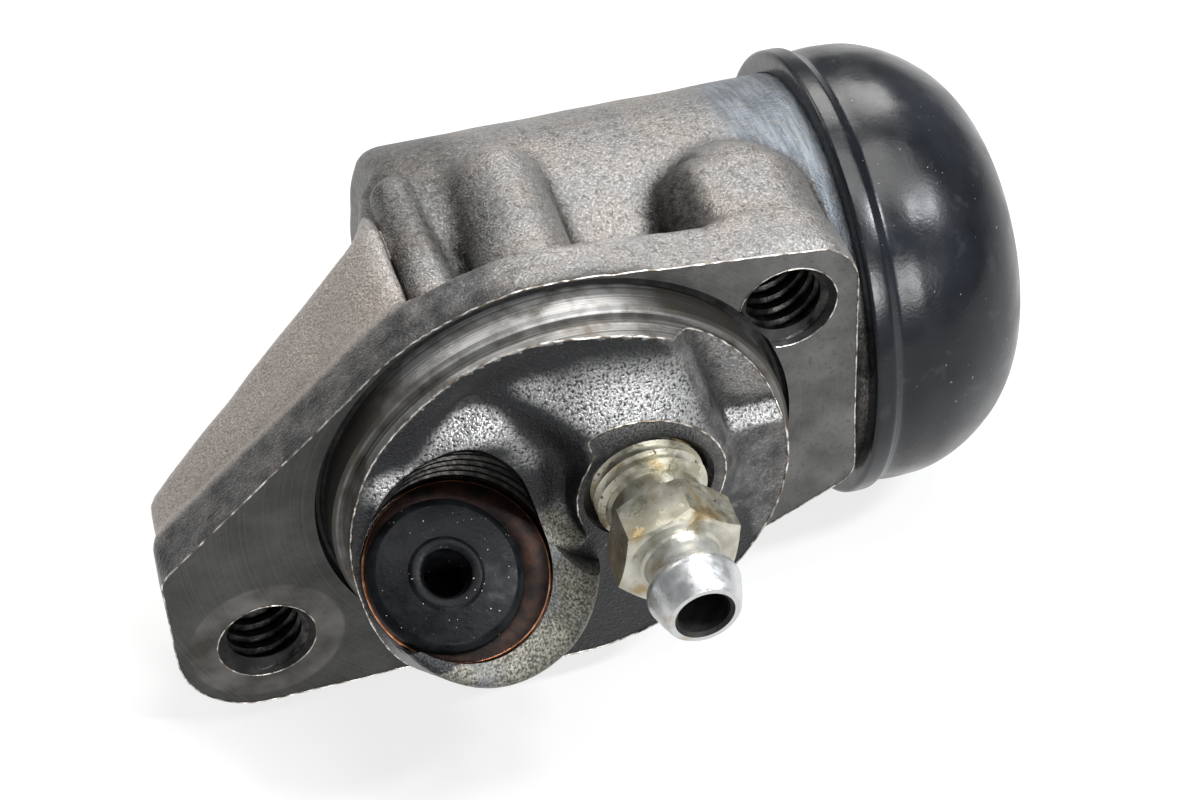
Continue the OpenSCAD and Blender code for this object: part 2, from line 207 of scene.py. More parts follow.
ear = (LOWER_HOLE[0], LOWER_HOLE[1], 7.8)
ear_corner = (LOWER_HOLE[0] - 6.7, LOWER_HOLE[1] + 9.3, 1.65)
foot_corner = (UPPER_HOLE[0] + 5, -7.9, 2.4)
head_corner = (UPPER_HOLE[0] + 1.4, UPPER_HOLE[1] + 1.3, 4.85)

cell = 0.45
grid_low = np.array((-36.0, -26.0, -25.0))
grid_high = np.array((36.0, 41.0, 24.0))
counts = np.ceil((grid_high - grid_low) / cell).astype(int)
X = (grid_low[0] + cell * np.arange(counts[0])).reshape(-1, 1, 1)
Y = (grid_low[1] + cell * np.arange(counts[1])).reshape(1, -1, 1)
Z = (grid_low[2] + cell * np.arange(counts[2])).reshape(1, 1, -1)


# Fields hold the distance to a surface in millimetres, below zero inside the iron. A soft union or
# cut rounds the corner between two surfaces over the given blend.
def soft_union(a, b, blend):
    near = np.maximum(blend - np.abs(a - b), 0) / blend
    return np.minimum(a, b) - near * near * blend / 4


def soft_cut(a, b, blend):
    return -soft_union(-a, -b, blend)


# A belt drawn tight round circles gives the outlines of the flange and the web.
def belt(circles, step=6):
    count = len(circles)
    leave = []
    for i in range(count):
        (ax, az, ar), (bx, bz, br) = circles[i], circles[(i + 1) % count]
        run = math.hypot(bx - ax, bz - az)
        leave.append(math.degrees(math.atan2(bz - az, bx - ax) - math.acos((ar - br) / run)))
    points = []
    for i in range(count):
        x, z, r = circles[i]
        swing = (leave[i] - leave[i - 1]) % 360
        pieces = max(1, int(swing / step))
        for k in range(pieces + 1):
            a = math.radians(leave[i - 1] + swing * k / pieces)
            points.append((x + r * math.cos(a), z + r * math.sin(a)))
    return np.array(points)


def outline_distance(points, across, upward):
    u, v = np.meshgrid(across.ravel(), upward.ravel(), indexing="ij")
    nearest = np.full(u.shape, 1e9)
    inside = np.zeros(u.shape, bool)
    for a, b in zip(points, np.roll(points, -1, axis=0)):
        e = b - a
        if e @ e < 1e-9:
            continue
        t = np.clip(((u - a[0]) * e[0] + (v - a[1]) * e[1]) / (e @ e), 0, 1)
        nearest = np.minimum(nearest, (u - a[0] - t * e[0]) ** 2 + (v - a[1] - t * e[1]) ** 2)
        if abs(e[1]) > 1e-9:
            inside ^= ((a[1] <= v) != (b[1] <= v)) & (u < a[0] + e[0] * (v - a[1]) / e[1])
    return np.where(inside, -1, 1) * np.sqrt(nearest)


def plane(point, normal):
    normal = np.array(normal) / np.linalg.norm(normal)
    return (X - point[0]) * normal[0] + (Y - point[1]) * normal[1] + (Z - point[2]) * normal[2]


def rod(point, direction, radius):
    d = np.array(direction) / np.linalg.norm(direction)
    across, deep, upward = X - point[0], Y - point[1], Z - point[2]
    along = across * d[0] + deep * d[1] + upward * d[2]
    square = across * across + deep * deep + upward * upward - along * along
    return np.sqrt(np.maximum(square, 0)) - radius


def ridge(x, z, radius, depth):
    past_end = np.maximum(Y - (depth - radius), 0)
    return np.maximum(np.sqrt((X - x) ** 2 + past_end ** 2 + (Z - z) ** 2) - radius, 1 - Y)


def smooth_step(value, start, end):
    t = np.clip((value - start) / (end - start), 0, 1)
    return t * t * (3 - 2 * t)


def spread(field, reach):
    width = 2 * reach + 1
    for axis in range(3):
        margin = [(reach + 1, reach) if k == axis else (0, 0) for k in range(3)]
        total = np.cumsum(np.pad(field, margin, mode="edge"), axis=axis)
        total = np.moveaxis(total, axis, 0)
        field = np.moveaxis((total[width:] - total[:-width]) / width, 0, axis)
    return field


barrel = np.sqrt((Y - BORE_Y) ** 2 + (Z - BORE_Z) ** 2) - BARREL_R
barrel = soft_cut(barrel, np.maximum(CLOSED_END - X, X - ROUGH_END), 2.2)
web_belt = belt([(x, z, radius - WEB_INSET) for x, z, radius in (hub, ear_corner, ear)])
web_plan = np.array((
    (-6.9, -3), (-34.4, -3), (-34.4, 10.4), (-13.7, 16.4), (-12.8, 16.9),
    (-12.2, 17.9), (-11.8, 19.2), (-10.3, 24.4), (-9.7, 24.9), (-6.9, 24.9),
))
web = outline_distance(web_belt, X, Z)[:, None, :] + DRAFT * Y
web = soft_cut(web, outline_distance(web_plan, X, Y)[:, :, None], 2.4)
web = soft_cut(web, plane((0, 14, 18.2), (0, 2.3, 9.8)), 1.6)
web = soft_cut(web, np.minimum(X + 10.4, Z - 13), 2.2)
web = np.maximum(web, -Y)
flange_belt = belt([hub, ear_corner, ear, hub, foot_corner, head_corner])
flange = outline_distance(flange_belt, X, Z)[:, None, :] + BURR_ROOM + DRAFT * np.maximum(Y, 0)
flange = soft_cut(flange, np.maximum(-LATHE_STOCK - Y, Y - FLANGE_T), 1.0)

casting = soft_union(barrel, web, 2.0)
casting = soft_union(casting, ridge(x=0.2, z=14, radius=4.3, depth=23), 0.9)
casting = soft_union(casting, ridge(x=-8.1, z=14.3, radius=2, depth=22.5), 0.5)
bolt_boss = ridge(x=19.4, z=11.8, radius=7, depth=19)
boss_left = 16.9
boss_right = 20.8
boss_top = 14.6
boss_end = 12
boss_round = 4.5
side_reach = np.maximum(np.maximum(boss_left - X, X - boss_right), 0)
top_reach = np.maximum(Z - boss_top + 0.04 * Y, 0)
end_reach = np.maximum(Y - boss_end, 0)
squared_boss = np.sqrt(side_reach ** 2 + top_reach ** 2 + end_reach ** 2) - boss_round
squared_boss = np.maximum(squared_boss, np.maximum(1 - Y, 5 - Z))
casting = soft_union(casting, np.minimum(bolt_boss, squared_boss), 1.2)
casting = soft_union(casting, flange, 1.4)

from_middle = np.sqrt(X * X + Z * Z)
behind_face = Y + 0.2
plateau = smooth_step(Z, 4.8, 5.8) * smooth_step(X + (Z - 16) * 0.35, 8.4, 10.0)
plateau_height = 2.9
shoulder = 1 - smooth_step(np.sqrt((X + 8.3) ** 2 + (Z - 4.5) ** 2), 4.6, 8.6)
rim_places = (-16, -13, -9, -6, -2, 1, 5, 9)
rim_heights = (4.3, 4.2, 3.9, 4.0, 4.4, 4.8, 5.0, 5.1)
rim_height = np.interp(X, rim_places, rim_heights)
rim_height = LUMP_H + (rim_height - LUMP_H) * smooth_step(Z, 5, 9)
valley = np.exp(-((from_middle - 15.0) / 1.7) ** 2)
valley = valley * smooth_step(Z, 3, 8) * smooth_step(X, 1, -4)
lump_top = rim_height - (rim_height - plateau_height) * plateau + 1.3 * shoulder - 1.1 * valley
lump = np.maximum(from_middle - ROUGH_LUMP_R, np.maximum(-Y - lump_top, behind_face))
hump_x = 3.9
hump_z = 3.6
hump_r = 12.2
hump_foot = 4.9
hump_slope = 0.714
hump_reach = np.sqrt((X - hump_x) ** 2 + (Z - hump_z) ** 2) - hump_r + (-Y - hump_foot) / hump_slope
hump = np.maximum(hump_reach * math.sin(math.atan(hump_slope)), -Y - (BLEED_FACE_H + 0.4))
hump = soft_cut(hump, plane((9.4, 0, 16), (11.4, 0, 4)), 1.6)
hump = soft_cut(hump, plane((-2.8, -5, 9.5), (-0.66, -0.68, -0.3)), 1.2)
hump = np.maximum(hump, behind_face)
bleeder_boss = rod((BLEED_X, 0, BLEED_Z), (0, -1, 0), BLEED_BOSS_R)
bleeder_boss = soft_cut(bleeder_boss, -Y - (BLEED_FACE_H + 0.5), 0.8)
bleeder_boss = np.maximum(bleeder_boss, behind_face)
boss_shift = (2.5, 0.354, 0.354)
port_boss = rod(PORT_SEAT + boss_shift, (0, -1, 1), PORT_BOSS_R)
port_boss = soft_cut(port_boss, plane(PORT_FACE_POINT, PORT_FACE_NORMAL), 0.8)
port_boss = np.maximum(port_boss, behind_face)
lump = soft_union(lump, soft_union(hump, bleeder_boss, 1.0), 1.6)
lump = soft_union(lump, port_boss, 2.4)
casting = np.minimum(casting, np.maximum(lump, behind_face))

sand_draw = np.random.default_rng(11)
sand_height = 0.035
waviness = spread(spread(sand_draw.standard_normal(casting.shape), 3), 3)
waviness = np.clip(waviness / waviness.std(), -2, 2)
casting = (casting + sand_height * waviness).astype(np.float32)
skin_band = 3.0
skin_grid = openvdb.FloatGrid(skin_band)
skin_grid.copyFromArray(np.clip(casting, -skin_band, skin_band))


def skin(depth):
    points, quads = skin_grid.convertToQuads(-depth)
    return (points * cell + grid_low) * MM, quads


def mesh_object(name, points, faces, material=None):
    mesh = bpy.data.meshes.new(name)
    mesh.from_pydata([tuple(p) for p in points], [], [tuple(f) for f in faces])
    mesh.validate()
    if material:
        mesh.materials.append(material)
    obj = bpy.data.objects.new(name, mesh)
    bpy.context.scene.collection.objects.link(obj)
    return obj


def outward(obj, weld=1e-7, drop_slivers=False):
    shape = bmesh.new()
    shape.from_mesh(obj.data)
    bmesh.ops.remove_doubles(shape, verts=shape.verts, dist=weld)
    if drop_slivers:
        bmesh.ops.dissolve_degenerate(shape, edges=shape.edges, dist=weld)
    bmesh.ops.recalc_face_normals(shape, faces=shape.faces)
    shape.to_mesh(obj.data)
    shape.free()
    return obj


housing = outward(mesh_object("housing_casting", *skin(0)))


# Iron finishes: the sand-cast skin is grey with brown dust, and black where oil has soaked in.
# The same iron is smooth where a tool has cut it. Every pattern sits in the part's own coordinates.
class Finish:
    def __init__(self, name, roughness, metallic):
        self.material = bpy.data.materials.new(name)
        self.material.use_nodes = True
        self.tree = self.material.node_tree
        self.surface = self.tree.nodes["Principled BSDF"]
        self.place = add_node(self.tree, "ShaderNodeTexCoord", {}).outputs["Object"]
        self.put("Roughness", roughness)
        self.put("Metallic", metallic)

    def put(self, name, value):
        feed(self.tree, self.surface.inputs[name], value)

    def noise(self, size, detail=3, stretch=(1, 1, 1)):
        stretched = add_node(self.tree, "ShaderNodeMapping", {"Vector": self.place, "Scale": stretch})
        return add_node(self.tree, "ShaderNodeTexNoise", {
            "Vector": stretched.outputs["Vector"], "Scale": 1 / (size * MM), "Detail": detail,
        }).outputs["Fac"]

    def streaks(self, coordinate, size):
        return add_node(self.tree, "ShaderNodeTexNoise", {
            "W": coordinate, "Scale": 1 / (size * MM), "Detail": 4,
        }, noise_dimensions="1D").outputs["Fac"]

    def axis(self, name):
        return add_node(self.tree, "ShaderNodeSeparateXYZ", {0: self.place}).outputs[name]

    def calc(self, operation, a, b=0.0):
        return add_node(self.tree, "ShaderNodeMath", {0: a, 1: b}, operation=operation).outputs[0]

    def from_axis(self, x, z):
        across = self.calc("SUBTRACT", self.axis("X"), x * MM)
        upward = self.calc("SUBTRACT", self.axis("Z"), z * MM)
        squares = self.calc("MULTIPLY", across, across), self.calc("MULTIPLY", upward, upward)
        return self.calc("SQRT", self.calc("ADD", *squares))

    def level(self, source, start, end, to_start=0.0, to_end=1.0):
        return add_node(self.tree, "ShaderNodeMapRange", {
            "Value": source, "From Min": start, "From Max": end, "To Min": to_start, "To Max": to_end,
        }).outputs["Result"]

    def mask(self, name):
        return add_node(self.tree, "ShaderNodeAttribute", {}, attribute_name=name).outputs["Fac"]

    def masked(self, name, *levels):
        return self.calc("MULTIPLY", self.mask(name), self.level(*levels))

    def mix(self, share, a, b):
        feeds = {"Factor": share, 6: a, 7: b}
        return add_node(self.tree, "ShaderNodeMix", feeds, data_type="RGBA").outputs[2]

    def patches(self, size, detail, start, end, dark, light):
        return self.mix(self.level(self.noise(size, detail), start, end), dark, light)

    def relief(self, height, depth, under=None):
        feeds = {"Height": height, "Distance": depth}
        if under:
            feeds["Normal"] = under
        bumped = add_node(self.tree, "ShaderNodeBump", feeds).outputs["Normal"]
        self.put("Normal", bumped)
        return bumped


def mottled(name, roughness, metallic, patches, grain_size, grain_depth):
    finish = Finish(name, roughness, metallic)
    finish.put("Base Color", finish.patches(*patches))
    finish.relief(finish.noise(grain_size), grain_depth * MM)
    return finish.material


# Cast skin: sand grain and pits, with masks for oil, wear, dust and the port's dry face, for painted
# shade in hollows and shaded places, and for a painted highlight on the lump's slopes that face the
# lamps. The oil mask also darkens the flange's left side in painted shade.
cast = Finish("cast_skin", 0.5, 0.7)
sand = cast.noise(0.22, 2)
pits = cast.noise(0.7, 5)
oil_edge = cast.level(cast.noise(2.2, 3), 0.3, 0.7, -0.18, 0.18)
oil = cast.level(cast.calc("ADD", cast.mask("oil"), oil_edge), 0.2, 0.8)
brown_patches = cast.level(cast.noise(4.5, 5), 0.36, 0.66, 0.0, 0.7)
brown_ear = cast.level(cast.axis("X"), -8 * MM, -16 * MM, 0.0, 0.3)
brown = cast.calc("ADD", brown_patches, brown_ear)
dry = cast.mix(brown, (0.18, 0.18, 0.18), (0.24, 0.212, 0.19))
dry = cast.mix(cast.level(pits, 0.3, 0.5, 0.7, 0.0), dry, (0.08, 0.073, 0.067))
dry = cast.mix(cast.level(sand, 0.5, 0.75, 0.0, 0.7), dry, (0.46, 0.45, 0.435))
dry = cast.mix(cast.level(sand, 0.28, 0.42, 0.6, 0.0), dry, (0.06, 0.056, 0.052))
dry = cast.mix(cast.masked("dust", sand, 0.36, 0.6, 0.35, 0.9), dry, (0.42, 0.37, 0.335))
dry = cast.mix(cast.masked("edge", pits, 0.35, 0.6, 0.2, 0.75), dry, (0.4, 0.39, 0.375))
# Painted shade: hollows and shaded places are darkened almost to black.
dry = cast.mix(cast.masked("painted_shade", pits, 0.3, 0.6, 0.97, 0.75), dry, (0.014, 0.013, 0.012))
gold = cast.mix(cast.level(sand, 0.36, 0.66), (0.05, 0.048, 0.042), (0.23, 0.22, 0.185))
gold = cast.mix(cast.level(cast.noise(3, 4), 0.5, 0.68, 0.0, 0.7), gold, (0.12, 0.13, 0.145))
dry = cast.mix(cast.mask("gold"), dry, gold)
strokes = cast.noise(0.4, 4, (1, 0.12, 0.12))
steely = cast.mix(cast.level(strokes, 0.4, 0.62), (0.105, 0.118, 0.133), (0.19, 0.212, 0.236))
dry = cast.mix(cast.masked("rubbed", pits, 0.3, 0.5, 0.4, 1.0), dry, steely)
wet = cast.mix(cast.level(sand, 0.62, 0.76), (0.012, 0.0125, 0.014), (0.06, 0.06, 0.06))
# Painted highlight: oily slopes that face the lamps turn a bright, metallic grey.
painted_highlight_slope = cast.masked("painted_highlight", sand, 0.34, 0.56)
wet = cast.mix(painted_highlight_slope, wet, (0.6, 0.6, 0.59))
cast.put("Base Color", cast.mix(oil, dry, wet))
cast.put("Specular IOR Level", 0.3)
cast.put("Roughness", cast.level(oil, 0, 1, 0.48, 0.3))
painted_highlight_metal = cast.calc("MULTIPLY", oil, painted_highlight_slope)
cast.put("Metallic", cast.calc("MAXIMUM", cast.level(oil, 0, 1, 0.7, 0.1), painted_highlight_metal))
grainy = cast.relief(sand, cast.level(oil, 0, 1, 0.1 * MM, 0.13 * MM))
cast.relief(pits, 0.09 * MM, grainy)
cast_skin = cast.material

# Turned iron: smudged and darker towards the left in painted shade, with tool rings round the spigot and
# a brighter spot face round the lower bolt hole.
SPOT_FACE_R = 6.9
plain = Finish("turned_iron", 0.42, 0.8)
turning = plain.streaks(plain.from_axis(0, 0), 0.22)
smudge = plain.noise(5, 5)
tone = plain.mix(plain.level(smudge, 0.35, 0.68), (0.066, 0.066, 0.064), (0.145, 0.143, 0.138))
dots = plain.level(plain.noise(0.5, 4), 0.56, 0.68, 0.0, 0.5)
tone = plain.mix(dots, tone, (0.045, 0.043, 0.04))
# Painted shade: the face darkens towards the left.
painted_shade_left = plain.level(plain.axis("X"), -20 * MM, 14 * MM, 0.64, 0.0)
tone = plain.mix(painted_shade_left, tone, (0.03, 0.0295, 0.028))
spot_tone = plain.mix(plain.level(smudge, 0.36, 0.6), (0.042, 0.038, 0.032), (0.15, 0.145, 0.136))
from_hole = plain.from_axis(*LOWER_HOLE)
in_spot = plain.level(from_hole, SPOT_FACE_R * MM, (SPOT_FACE_R - 0.3) * MM, 0.0, 0.85)
tone = plain.mix(in_spot, tone, spot_tone)
tone = plain.mix(plain.level(turning, 0.45, 0.7, 0.0, 0.1), tone, (0.2, 0.2, 0.195))
plain.put("Base Color", tone)
plain.put("Roughness", plain.level(plain.noise(1.5, 4), 0.35, 0.65, 0.4, 0.56))
plain.relief(turning, 0.004 * MM, plain.relief(plain.noise(0.3), 0.03 * MM))
turned_iron = plain.material

# Bright land: the spigot's rim, ringed by the tool, lighter along its top in a painted highlight, and
# rubbed bright by the lump.
land = Finish("bright_land", 0.46, 0.8)
rings = land.streaks(land.axis("Y"), 0.28)
ring_share = land.level(rings, 0.38, 0.62)
worn_and_highlit = land.mix(ring_share, (0.04, 0.038, 0.035), (0.085, 0.082, 0.077))
# Painted highlight: the land is lighter along its top, towards the upper left.
leaning_up = land.calc("MULTIPLY", land.axis("Z"), 0.97)
leaning_left = land.calc("MULTIPLY", land.axis("X"), 0.25)
towards_top = land.calc("SUBTRACT", leaning_up, leaning_left)
painted_top_highlight = land.level(towards_top, 15 * MM, 18.4 * MM)
worn_and_highlit = land.mix(painted_top_highlight, worn_and_highlit, land.mix(ring_share, (0.2, 0.197, 0.192), (0.42, 0.415, 0.41)))
near_lump = land.level(land.axis("Y"), -2.5 * MM, -2.9 * MM)
worn_and_highlit = land.mix(near_lump, worn_and_highlit, land.mix(ring_share, (0.09, 0.088, 0.084), (0.3, 0.296, 0.288)))
stain = land.level(land.noise(2.4, 6), 0.44, 0.64, 0.0, 0.8)
land.put("Base Color", land.mix(stain, worn_and_highlit, (0.07, 0.06, 0.048)))
land.relief(rings, 0.02 * MM, land.relief(land.noise(0.25), 0.03 * MM))
bright_land = land.material

# Tapped iron and soot: dark, oily metal in the drilled holes, and dirt packed in the groove. The
# near-black soot finish is also painted shade in the bleed screw's mouth.
tapped_iron = mottled(
    "tapped_iron", 0.3, 0.85,
    (0.8, 4, 0.4, 0.65, (0.012, 0.012, 0.012), (0.05, 0.048, 0.045)), 0.3, 0.02,
)
soot_and_shade = mottled(
    "soot_and_shade", 0.6, 0.5,
    (1.2, 4, 0.4, 0.7, (0.008, 0.008, 0.009), (0.03, 0.028, 0.026)), 0.3, 0.03,
)
housing.data.materials.append(cast_skin)


# Machining: the lathe faces the flange, turns the spigot and cuts its groove, and a cutter faces the
# bleeder's boss. Each tool is a turned solid that is taken away from the casting.
def turned(name, profile, place, sides=96, material=None):
    points = []
    faces = []
    count = len(profile)
    for i in range(sides):
        a = 2 * math.pi * i / sides
        points += [(r * math.cos(a), r * math.sin(a), h) for r, h in profile]
    for i in range(sides):
        k = (i + 1) % sides
        for j in range(count):
            n = (j + 1) % count
            faces.append((i * count + j, k * count + j, k * count + n, i * count + n))
    obj = outward(mesh_object(name, points, faces, material), weld=1e-6, drop_slivers=True)
    obj.data.transform(place @ Matrix.Scale(MM, 4))
    return obj


def combine(target, tool, operation):
    step = target.modifiers.new(tool.name, "BOOLEAN")
    step.operation = operation
    step.solver = "MANIFOLD"
    step.material_mode = "TRANSFER"
    step.object = tool
    graph = bpy.context.evaluated_depsgraph_get()
    result = bpy.data.meshes.new_from_object(target.evaluated_get(graph))
    target.modifiers.clear()
    target.data = result
    bpy.data.objects.remove(tool)


def cut_away(target, tool):
    combine(target, tool, "DIFFERENCE")


def frame_at(point, along):
    turn_to = Vector(along).to_track_quat("Z", "Y").to_matrix().to_4x4()
    return Matrix.Translation(Vector(point) * MM) @ turn_to


OUT_OF_FACE = (0, -1, 0)
ALONG_BORE = (1, 0, 0)
LUMP_R = 18.9
SPIGOT_R = 19.75
SPIGOT_H = 2.7
GROOVE_R = 20.65
GROOVE_DEEP = 0.8
CLEAR = 60
spigot_axis = frame_at((0, 0, 0), OUT_OF_FACE)
lathe_profile = [
    (SPIGOT_R, -0.5), (SPIGOT_R + 0.3, -GROOVE_DEEP), (GROOVE_R - 0.3, -GROOVE_DEEP), (GROOVE_R, -0.5),
    (GROOVE_R, 0), (CLEAR, 0), (CLEAR, CLEAR), (LUMP_R, CLEAR), (LUMP_R, SPIGOT_H),
    (SPIGOT_R - 0.4, SPIGOT_H), (SPIGOT_R, SPIGOT_H - 0.4),
]
cut_away(housing, turned("lathe", lathe_profile, spigot_axis, 192, turned_iron))
facing_cutter_r = 8.2
facing_cutter = [
    (0, BLEED_FACE_H), (facing_cutter_r, BLEED_FACE_H), (facing_cutter_r, 20), (0, 20),
]
facing_axis = frame_at((4.2, 0, 4.0), OUT_OF_FACE)
cut_away(housing, turned("spot_face", facing_cutter, facing_axis, 96, cast_skin))


# Threads: taps cut a helical groove in both bolt holes and in the port, and the bleed screw carries
# a rolled ridge. One Geometry Nodes tree winds a tooth, or a spring's round wire, along a helix.
def new_tree(name, inputs):
    tree = bpy.data.node_groups.new(name, "GeometryNodeTree")
    tree.interface.new_socket("Geometry", in_out="OUTPUT", socket_type="NodeSocketGeometry")
    for socket_name, kind in inputs:
        tree.interface.new_socket(socket_name, in_out="INPUT", socket_type="NodeSocket" + kind)
    return tree, tree.nodes.new("NodeGroupInput").outputs


def sweep_and_coat(tree, curve, profile, finish):
    sweep = add_node(tree, "GeometryNodeCurveToMesh", {
        "Curve": curve, "Profile Curve": profile, "Fill Caps": True,
    })
    whole = add_node(tree, "GeometryNodeRealizeInstances", {"Geometry": sweep.outputs["Mesh"]})
    coat = add_node(tree, "GeometryNodeSetMaterial", {
        "Geometry": whole.outputs["Geometry"], "Material": finish,
    })
    add_node(tree, "NodeGroupOutput", {"Geometry": coat.outputs["Geometry"]})


helix_tree, given = new_tree("helix", (
    ("Radius", "Float"), ("Pitch", "Float"), ("Turns", "Float"), ("Tooth", "Float"),
    ("Sides", "Int"), ("Facing", "Float"), ("Finish", "Material"),
))
climb = add_node(helix_tree, "ShaderNodeMath", {
    0: given["Pitch"], 1: given["Turns"],
}, operation="MULTIPLY")
helix = add_node(helix_tree, "GeometryNodeCurveSpiral", {
    "Resolution": 48, "Rotations": given["Turns"], "Start Radius": given["Radius"],
    "End Radius": given["Radius"], "Height": climb.outputs[0],
})
upright = add_node(helix_tree, "GeometryNodeSetCurveNormal", {
    "Curve": helix.outputs["Curve"],
}, mode="Z_UP")
tooth = add_node(helix_tree, "GeometryNodeCurvePrimitiveCircle", {
    "Resolution": given["Sides"], "Radius": given["Tooth"],
})
tooth_turn = add_node(helix_tree, "ShaderNodeCombineXYZ", {"Z": given["Facing"]})
turned_tooth = add_node(helix_tree, "GeometryNodeTransform", {
    "Geometry": tooth.outputs["Curve"], "Rotation": tooth_turn.outputs["Vector"],
})
sweep_and_coat(
    helix_tree, upright.outputs["Curve"], turned_tooth.outputs["Geometry"], given["Finish"],
)


def grow(name, tree, values, points=(), strands=()):
    seed = mesh_object(name, [], [])
    seed.data.from_pydata(points, strands, [])
    step = seed.modifiers.new("grow", "NODES")
    step.node_group = tree
    for item in tree.interface.items_tree:
        if item.item_type == "SOCKET" and item.in_out == "INPUT" and item.name in values:
            step[item.identifier] = values[item.name]
    graph = bpy.context.evaluated_depsgraph_get()
    result = bpy.data.meshes.new_from_object(seed.evaluated_get(graph))
    seed.modifiers.clear()
    seed.data = result
    return seed


def crisp(obj, degrees):
    for polygon in obj.data.polygons:
        polygon.use_smooth = True
    obj.data.set_sharp_from_angle(angle=math.radians(degrees))


TOOTH_OUT = math.pi
TOOTH_SHARE = 0.55


def wind_thread(name, radius, pitch, turns, finish, place):
    thread = grow(name, helix_tree, {
        "Radius": radius * MM, "Pitch": pitch * MM, "Turns": turns, "Tooth": TOOTH_SHARE * pitch * MM,
        "Sides": 3, "Facing": TOOTH_OUT, "Finish": finish,
    })
    outward(thread)
    thread.data.transform(place)
    crisp(thread, 40)
    return thread


COARSE_PITCH = 1.41
DRILL_POINT = 0.28


# The teeth are kept below the casting's skin where a hole breaks out of its boss.
def tap(name, radius, tip, top, place, below_skin=0):
    point = tip - DRILL_POINT * radius
    drill = [(0, point), (0.3, point), (radius, tip), (radius, top), (0, top)]
    tool = turned(name, drill, place, 96, tapped_iron)
    turns = (top - tip) / COARSE_PITCH - 1.2
    first_turn = place @ Matrix.Translation((0, 0, (tip + 0.6 * COARSE_PITCH) * MM))
    teeth = wind_thread(name + "_teeth", radius, COARSE_PITCH, turns, tapped_iron, first_turn)
    if below_skin:
        combine(teeth, outward(mesh_object("core", *skin(below_skin))), "INTERSECT")
        core_r = LUMP_R - below_skin
        core = [(0, -CLEAR / 2), (core_r, -CLEAR / 2), (core_r, CLEAR), (0, CLEAR)]
        combine(teeth, turned("lathe_core", core, spigot_axis, 192), "INTERSECT")
    combine(tool, teeth, "UNION")
    return tool


# Holes: two bolt holes tapped and countersunk, the bleeder's stepped drilling, and the port with its
# flat seat, whose thread breaks out of the boss at the left.
BOLT_TAP_R = 3.25
SINK_R = 4.3
for hole_x, hole_z in (UPPER_HOLE, LOWER_HOLE):
    hole_axis = frame_at((hole_x, 0, hole_z), OUT_OF_FACE)
    cut_away(housing, tap("bolt_tap", BOLT_TAP_R, -10, 1.5, hole_axis))
    sink_depth = SINK_R - BOLT_TAP_R
    sink = [(0, -sink_depth), (BOLT_TAP_R, -sink_depth), (SINK_R, 0), (SINK_R, 1), (0, 1)]
    cut_away(housing, turned("countersink", sink, hole_axis, 64, soot_and_shade))

bleed_axis = frame_at((BLEED_X, 0, BLEED_Z), OUT_OF_FACE)
PASSAGE_R = 1.4
BLEED_HOLE_R = 4.8
BLEED_SINK_R = 5.6
bleed_drill = [
    (0, -19), (PASSAGE_R, -19), (PASSAGE_R, -5.6), (BLEED_HOLE_R, -2.4), (BLEED_HOLE_R, 7.1),
    (BLEED_SINK_R, BLEED_FACE_H), (BLEED_SINK_R, 12), (0, 12),
]
cut_away(housing, turned("bleed_drill", bleed_drill, bleed_axis, 64, tapped_iron))

PORT_TILT = math.radians(62)
PORT_SWING = math.radians(8)
PORT_AXIS = np.array((
    math.cos(PORT_TILT) * math.sin(PORT_SWING),
    -math.cos(PORT_TILT) * math.cos(PORT_SWING),
    math.sin(PORT_TILT),
))
port_axis = frame_at(PORT_SEAT, PORT_AXIS)
PORT_R = 8.0
INLET_R = 5
port_drill = [(0, -5), (INLET_R, -5), (INLET_R, 0), (PORT_R, 0), (PORT_R, 1), (0, 1)]
cut_away(housing, turned("port_drill", port_drill, port_axis, 96, tapped_iron))
cut_away(housing, tap("port_tap", PORT_R, 0.4, 30, port_axis, 0.45))
scallop_r = 3.4
scallop = [(0, -6), (scallop_r, -6), (scallop_r, 6), (0, 6)]
scallop_axis = frame_at((-18.6, -12.6, 0.6), ALONG_BORE)
cut_away(housing, turned("scallop", scallop, scallop_axis, 64, cast_skin))

# Bore and neck: a boring bar opens the cylinder from its right end, and the outside is turned down
# to a neck there for the boot.
BORE_R = 12.7
BORE_FLOOR = -3.4
OPEN_END = 31
NECK_R = 16.8
NECK_START = 28.9
PAST_END = 40
bore_axis = frame_at((0, BORE_Y, BORE_Z), ALONG_BORE)
boring_bar = [
    (0, BORE_FLOOR), (BORE_R, BORE_FLOOR), (BORE_R, OPEN_END - 0.8), (BORE_R + 0.8, OPEN_END),
    (BORE_R + 0.8, PAST_END), (0, PAST_END),
]
cut_away(housing, turned("boring_bar", boring_bar, bore_axis, 128, turned_iron))
neck_tool = [
    (NECK_R, NECK_START), (30, NECK_START), (30, PAST_END), (BORE_R + 0.2, PAST_END),
    (BORE_R + 0.2, OPEN_END), (NECK_R, OPEN_END),
]
cut_away(housing, turned("neck_tool", neck_tool, bore_axis, 192, turned_iron))
crisp(housing, 32)


# Wear, soot, oil, painted shade and a painted highlight on the finished casting: the groove holds soot,
# the land is bright, with a painted highlight along its top, the cylinder is striated beside its neck,
# and oil has run over the lump, but not over the port's own dry face. Hollows and shaded places get
# painted shade, and slopes facing the lamps a painted highlight. Each is a finish of whole faces or a
# mask on the vertices.
def sample(field, points):
    place = np.clip((points - grid_low) / cell, 0, np.array(field.shape) - 1.001)
    base = place.astype(int)
    part = place - base
    value = 0
    for corner in np.ndindex(2, 2, 2):
        weight = np.prod(np.where(corner, part, 1 - part), axis=1)
        value = value + weight * field[tuple((base + corner).T)]
    return value


def vectors_of(collection, field):
    values = np.empty(3 * len(collection))
    collection.foreach_get(field, values)
    return values.reshape(-1, 3)


